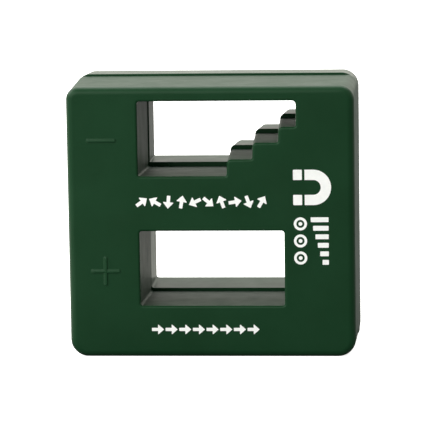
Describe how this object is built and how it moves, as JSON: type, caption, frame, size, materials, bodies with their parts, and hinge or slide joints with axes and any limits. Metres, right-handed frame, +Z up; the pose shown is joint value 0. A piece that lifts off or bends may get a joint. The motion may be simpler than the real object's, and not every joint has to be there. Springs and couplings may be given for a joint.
{
  "type": "demagnetizer",
  "caption": "Small plastic block that magnetises tool tips in a rectangular window and demagnetises them in a stepped one, with ferrite magnets inside.",
  "frame": {"origin": "centre of the footprint, on the surface the block stands on", "axes": "+X to the right seen from the front, -Y out of the front face, +Z up"},
  "size_m": [0.0508, 0.0282, 0.0479],
  "materials": {
    "moulded_plastic": "glossy dark green",
    "ferrite": "dull dark grey",
    "foam": "matte black foam",
    "screw_steel": "bright zinc"
  },
  "bodies": {
    "root": {"front_shell": "moulded_plastic", "rear_shell": "moulded_plastic", "bridge_magnet": "ferrite", "base_magnet": "ferrite", "bridge_magnet_pad": "foam", "base_magnet_pad": "foam", "screw_top_left": "screw_steel", "screw_top_right": "screw_steel", "screw_bottom_left": "screw_steel", "screw_bottom_right": "screw_steel"}
  },
  "joints": []
}
